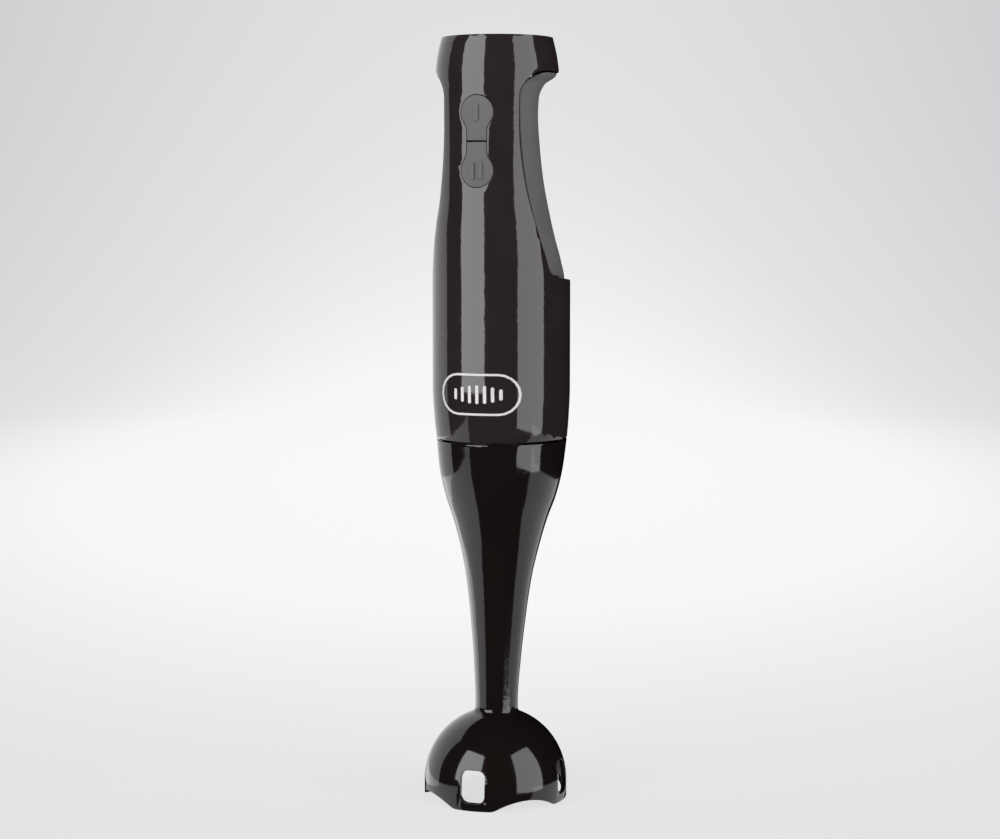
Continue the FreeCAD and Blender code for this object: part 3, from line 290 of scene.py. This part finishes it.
def round_edges(piece, width, limit=32.0, segments=3):
    """Real rounded edges on everything sharper than the limit."""
    piece.data.shade_smooth()
    bevel = piece.modifiers.new("rounding", "BEVEL")
    bevel.width = width
    bevel.segments = segments
    bevel.limit_method = "ANGLE"
    bevel.angle_limit = math.radians(limit)
    bevel.harden_normals = True
    bevel.use_clamp_overlap = True
    return piece


def merged_copy(node):
    """Copy of a node's mesh with its triangles joined at their shared corners."""
    shape = bmesh.new()
    shape.from_mesh(NODES[node].data)
    bmesh.ops.remove_doubles(shape, verts=shape.verts, dist=JOIN_REACH)
    return shape


def finer_copy(name, node, body, slot, width):
    """Piece that stands for a node, with its edges rounded."""
    piece = put_in_scene(name, merged_copy(node), FINISHES[slot], body)
    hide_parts(node)
    return round_edges(piece, width)


# ---------------------------------------------------------------- the object's pieces
finer_copy("polished_housing", "housing_shell", "housing", "gloss_shell", HOUSING_EDGE)
finer_copy("soft_rear_cover", "rear_grip", "housing", "soft_grip", MOULDED_EDGE)
finer_copy("polished_stem", "stem_shell", "stem", "gloss_stem", MOULDED_EDGE)
finer_copy("crown_cap", "top_cap", "housing", "gloss_shell", CAP_EDGE)
finer_copy("low_speed_button", "button_low_speed", "low_button", "soft_buttons", MOULDED_EDGE)
finer_copy("high_speed_button", "button_high_speed", "high_button", "soft_buttons", MOULDED_EDGE)


RAY_START_Y = -0.2


def lay_on_front(shape, node):
    """Sends a flat drawing in X and Z back onto the front of a node; its Y is how far it stands out."""
    skin = merged_copy(node)
    tree = BVHTree.FromBMesh(skin)
    skin.free()
    for corner in shape.verts:
        start = Vector((corner.co.x, RAY_START_Y, corner.co.z))
        touch = tree.ray_cast(start, Vector((0, 1, 0)))[0]
        corner.co.y = touch.y - corner.co.y


def slice_upright(shape, half_width, step):
    """Cuts a flat drawing into narrow strips, so that it can follow a round surface."""
    count = int(half_width / step)
    for i in range(-count, count + 1):
        everything = list(shape.verts) + list(shape.edges) + list(shape.faces)
        bmesh.ops.bisect_plane(
            shape, geom=everything, dist=1e-6, plane_co=(i * step, 0, 0), plane_no=(1, 0, 0)
        )


def stand_out(shape, faces, thick):
    """Thickens flat faces of a drawing towards the front."""
    raised = bmesh.ops.extrude_face_region(shape, geom=faces)["geom"]
    corners = [v for v in raised if isinstance(v, bmesh.types.BMVert)]
    bmesh.ops.translate(shape, vec=(0, thick, 0), verts=corners)


def add_bar(shape, x, z, width, height, thick, corner):
    """Upright bar with rounded corners, drawn flat; with a thickness, it is a closed solid."""
    before = set(shape.verts)
    bmesh.ops.create_grid(shape, x_segments=1, y_segments=1, size=0.5)
    flat = [v for v in shape.verts if v not in before]
    bmesh.ops.scale(shape, vec=(width, height, 1), verts=flat)
    bmesh.ops.rotate(shape, matrix=Matrix.Rotation(math.pi / 2, 3, "X"), verts=flat)
    bmesh.ops.translate(shape, vec=(x, 0, z), verts=flat)
    bmesh.ops.bevel(
        shape,
        geom=flat,
        offset=corner,
        offset_type="OFFSET",
        affect="VERTICES",
        segments=5,
        profile=0.5,
        material=-1,
    )
    if thick:
        stand_out(shape, [f for f in shape.faces if all(v not in before for v in f.verts)], thick)


def numeral(name, bars, z, body, node):
    """Raised numeral made of upright bars on a button."""
    shape = bmesh.new()
    for x in bars:
        add_bar(shape, x, z, NUMERAL_WIDTH, NUMERAL_HEIGHT, NUMERAL_RELIEF, NUMERAL_CORNER)
    lay_on_front(shape, node)
    bmesh.ops.recalc_face_normals(shape, faces=shape.faces)
    piece = put_in_scene(name, shape, FINISHES["soft_buttons"], body)
    return round_edges(piece, NUMERAL_EDGE, 40)


def printed_badge():
    """Screen-printed capsule outline with a row of plain bars of rising height."""
    shape = bmesh.new()
    add_bar(shape, 0.0, BADGE_Z, BADGE_WIDTH, BADGE_HEIGHT, 0.0, BADGE_CORNER)
    bmesh.ops.inset_region(shape, faces=list(shape.faces), thickness=BADGE_LINE, use_boundary=True)
    middle = max(shape.faces, key=lambda face: face.calc_area())
    bmesh.ops.delete(shape, geom=[middle], context="FACES_ONLY")
    for i in range(BADGE_BARS):
        height = BADGE_BAR_BASE + BADGE_BAR_RISE * math.sin(math.pi * (i + 0.5) / BADGE_BARS)
        x = (i - BADGE_BARS // 2) * BADGE_BAR_PITCH
        add_bar(shape, x, BADGE_Z, BADGE_BAR_WIDTH, height, 0.0, BADGE_BAR_CORNER)
    bmesh.ops.remove_doubles(shape, verts=shape.verts, dist=0.001 * MM)
    slice_upright(shape, BADGE_WIDTH / 2, BADGE_STRIP)
    bmesh.ops.triangulate(shape, faces=shape.faces)
    stand_out(shape, list(shape.faces), INK_THICKNESS)
    lay_on_front(shape, "housing_shell")
    bmesh.ops.recalc_face_normals(shape, faces=shape.faces)
    return put_in_scene("printed_badge", shape, PRINT_INK, "housing")


TWO_BARS = [-NUMERAL_OFFSET, NUMERAL_OFFSET]
numeral("numeral_one", [0.0], NUMERAL_ONE_Z, "low_button", "button_low_speed")
numeral("numeral_two", TWO_BARS, NUMERAL_TWO_Z, "high_button", "button_high_speed")
printed_badge()


# ---------------------------------------------------------------- finishes on the nodes that stay
for subpart in frame["record"]["subparts"]:
    materials = NODES[subpart["node"]].data.materials
    materials.clear()
    materials.append(FINISHES[subpart["material_slot"]])


# ---------------------------------------------------------------- studio
CAMERA_TURN = math.radians(19.0)
CAMERA_DISTANCE = 1.016
CAMERA_HEIGHT = 0.272
CAMERA_PITCH = math.radians(5.396)
CAMERA_YAW = math.radians(0.119)
CAMERA_LENS = 79.67
CAMERA_SENSOR = 36.0

# Studio dish in metres: a flat round floor, a curve up, and a wall.
FLOOR_RADIUS = 2.0
FLOOR_RINGS = 8
CURVE_RADIUS = 0.8
CURVE_STEPS = 12
WALL_TOP = 3.0
DISH_SEGMENTS = 96

# Painted pool of light on the paper, standing in for a background lamp and fading outwards: its middle
# lies behind the object, and it is narrower across than along.
LIGHT_POOL_BEHIND = 1.4
LIGHT_POOL_NARROWING = 2.0
LIGHT_POOL_REACH = 3.0
LIGHT_POOL_STOPS = [
    (0.0, "#f4f4f5"),
    (0.3, "#efeff0"),
    (0.46, "#dadadb"),
    (0.7, "#c7c7c9"),
    (1.0, "#b6b6b9"),
]


def studio_direction(turn):
    """Level direction from the object, turned to the right of the camera by some degrees."""
    a = CAMERA_TURN + math.radians(turn)
    return Vector((math.sin(a), -math.cos(a), 0.0))


def card(name, turns, heights, distance, brightness, mirror_only=False):
    """Upright light card between two turns from the camera, in degrees, and two heights, in metres.

    A card for mirroring only shows in gloss and lights nothing else.
    """
    first, last = turns
    low, high = heights
    middle = (first + last) / 2
    spread = math.radians(last - first) / 2
    light = bpy.data.lights.new(name, "AREA")
    light.shape = "RECTANGLE"
    light.size = 2 * distance * math.sin(spread)
    light.size_y = high - low
    light.energy = brightness * light.size * light.size_y * math.pi
    holder = bpy.data.objects.new(name, light)
    spot = studio_direction(middle) * distance * math.cos(spread) + Vector((0, 0, (low + high) / 2))
    facing = -studio_direction(middle)
    holder.rotation_mode = "QUATERNION"
    holder.rotation_quaternion = facing.to_track_quat("-Z", "Y")
    holder.location = spot
    holder.visible_camera = False
    holder.visible_diffuse = not mirror_only
    bpy.context.scene.collection.objects.link(holder)


def studio_dish():
    """Seamless round floor that curves up to a wall."""
    shape = bmesh.new()
    profile = [(FLOOR_RADIUS * i / FLOOR_RINGS, 0.0) for i in range(FLOOR_RINGS + 1)]
    for i in range(1, CURVE_STEPS + 1):
        t = math.pi / 2 * i / CURVE_STEPS
        out, up = CURVE_RADIUS * math.sin(t), CURVE_RADIUS * (1 - math.cos(t))
        profile.append((FLOOR_RADIUS + out, up))
    profile.append((FLOOR_RADIUS + CURVE_RADIUS, WALL_TOP))
    corners = [shape.verts.new((r, 0, z)) for r, z in profile]
    edges = [shape.edges.new(pair) for pair in zip(corners, corners[1:])]
    bmesh.ops.spin(
        shape,
        geom=corners + edges,
        cent=(0, 0, 0),
        axis=(0, 0, 1),
        angle=math.tau,
        steps=DISH_SEGMENTS,
        use_merge=True,
    )
    bmesh.ops.remove_doubles(shape, verts=shape.verts, dist=0.0001)
    bmesh.ops.recalc_face_normals(shape, faces=shape.faces)
    bmesh.ops.reverse_faces(shape, faces=shape.faces)
    mesh = bpy.data.meshes.new("studio_floor")
    shape.to_mesh(mesh)
    shape.free()
    mesh.shade_smooth()
    return bpy.data.objects.new("studio_floor", mesh)


def floor_finish():
    """Matt white studio paper with a painted pool of light in its emission, brightest round and behind the
    object and fading outwards.
    """
    material, tree, place = start_finish("studio_paper_painted_light_pool")
    turned = add_node(
        tree, "ShaderNodeMapping", {"vector_type": "TEXTURE"}, Vector=place, Rotation=(0, 0, CAMERA_TURN)
    )
    narrowed = add_node(
        tree,
        "ShaderNodeMapping",
        Vector=turned.outputs["Vector"],
        Location=(0, -LIGHT_POOL_BEHIND, 0),
        Scale=(LIGHT_POOL_NARROWING, 1, 1),
    )
    reach = add_node(
        tree, "ShaderNodeVectorMath", {"operation": "LENGTH"}, i0=narrowed.outputs["Vector"]
    )
    share = add_node(
        tree, "ShaderNodeMapRange", Value=reach.outputs["Value"], i1=0.0, i2=LIGHT_POOL_REACH
    )
    # Painted light: this emission colour is a pool of light standing in for a background lamp, fading
    # outwards from behind the object.
    painted_light_pool = ramp(tree, share.outputs["Result"], LIGHT_POOL_STOPS)
    close_finish(
        tree,
        Base_Color=linear("#595959"),
        Roughness=0.9,
        Specular_IOR_Level=0.0,
        Emission_Color=painted_light_pool,
        Emission_Strength=1.0,
    )
    return material


floor = studio_dish()
floor.data.materials.append(floor_finish())
floor.visible_glossy = False
bpy.context.scene.collection.objects.link(floor)

card("main_card", turns=(-68, -24), heights=(0.058, 1.33), distance=1.3, brightness=4.5)
card("right_card", turns=(34, 81), heights=(-0.24, 1.33), distance=1.3, brightness=2.95)
card("left_back_card", (-178, -103), (-0.3, 1.5), distance=1.5, brightness=1.1, mirror_only=True)
card("low_left_card", (-150, -58), (-1.6, -0.12), distance=1.3, brightness=1.1, mirror_only=True)
card("low_right_card", (62, 150), (-1.6, -0.14), distance=1.3, brightness=0.95, mirror_only=True)

world = bpy.data.worlds.new("studio_room")
world.use_nodes = True
world.node_tree.nodes["Background"].inputs["Color"].default_value = linear("#b4b4b6")
world.node_tree.nodes["Background"].inputs["Strength"].default_value = 0.6
world.cycles_visibility.glossy = False
bpy.context.scene.world = world
bpy.context.scene.view_settings.view_transform = "Standard"

camera_data = bpy.data.cameras.new("studio_camera")
camera_data.sensor_width = CAMERA_SENSOR
camera_data.lens = CAMERA_LENS
camera_data.clip_start = 0.01
camera = bpy.data.objects.new("studio_camera", camera_data)
stand = studio_direction(0.0) * CAMERA_DISTANCE
camera.location = stand + Vector((0, 0, CAMERA_HEIGHT))
camera.rotation_euler = (math.pi / 2 - CAMERA_PITCH, 0.0, CAMERA_TURN - CAMERA_YAW)
bpy.context.scene.collection.objects.link(camera)
bpy.context.scene.camera = camera
